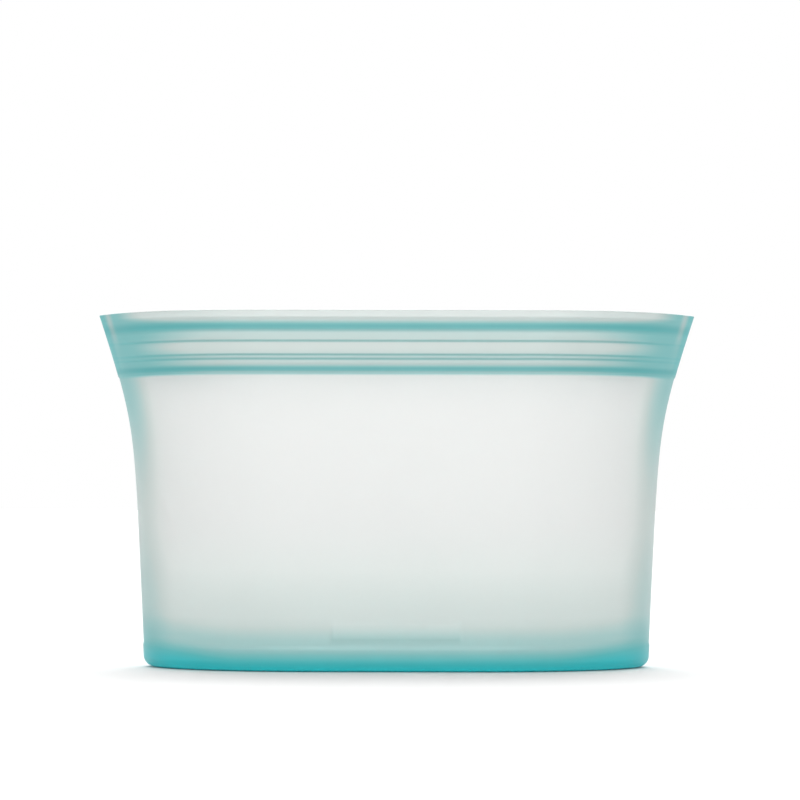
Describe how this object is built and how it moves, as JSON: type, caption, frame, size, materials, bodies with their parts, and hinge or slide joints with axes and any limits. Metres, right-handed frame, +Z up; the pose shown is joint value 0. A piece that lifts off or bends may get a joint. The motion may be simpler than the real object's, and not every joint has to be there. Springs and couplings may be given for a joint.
{
  "type": "reusable silicone food storage dish",
  "caption": "Free-standing oval silicone storage vessel with a press-together zip moulded into the lips of its flared, open mouth.",
  "frame": {"origin": "centre of the underside of the floor, which is the middle of the bounding box's bottom face", "axes": "+X towards the right ear, along the long mouth; +Y towards the back lip, which carries the zip's tongue; +Z up, out of the mouth"},
  "size_m": [0.1802, 0.076, 0.106],
  "materials": {
    "thin_silicone": "frosted translucent, moulded",
    "lip_silicone": "frosted translucent, moulded",
    "thick_silicone": "satin translucent, moulded"
  },
  "bodies": {
    "vessel": {"base_floor": "thick_silicone", "heel_ring": "thick_silicone", "front_wall": "thin_silicone", "back_wall": "thin_silicone", "left_end_wall": "thin_silicone", "right_end_wall": "thin_silicone", "label_pad": "thin_silicone", "front_left_corner_lip": "lip_silicone", "front_right_corner_lip": "lip_silicone", "back_left_corner_lip": "lip_silicone", "back_right_corner_lip": "lip_silicone", "left_ear": "thick_silicone", "right_ear": "thick_silicone"},
    "back_lip": {"back_lip_web": "lip_silicone", "back_rim_bead": "thick_silicone", "back_hinge_bead": "thick_silicone", "back_zip_tongue": "lip_silicone"},
    "front_lip": {"front_lip_web": "lip_silicone", "front_rim_bead": "thick_silicone", "front_hinge_bead": "thick_silicone", "front_groove_upper_rail": "lip_silicone", "front_groove_lower_rail": "lip_silicone"}
  },
  "joints": [
    {"name": "back_lip_close", "type": "slide", "parent": "vessel", "child": "back_lip", "axis": [0, -1, 0], "range_m": [0, 0.0335], "stiffness_N_per_m": 20},
    {"name": "lips_meet", "type": "slide", "parent": "back_lip", "child": "front_lip", "axis": [0, 1, 0], "range_m": [0, 0.067]}
  ],
  "couplings": [
    {"joint": "lips_meet", "follows": "back_lip_close", "ratio": 2}
  ]
}
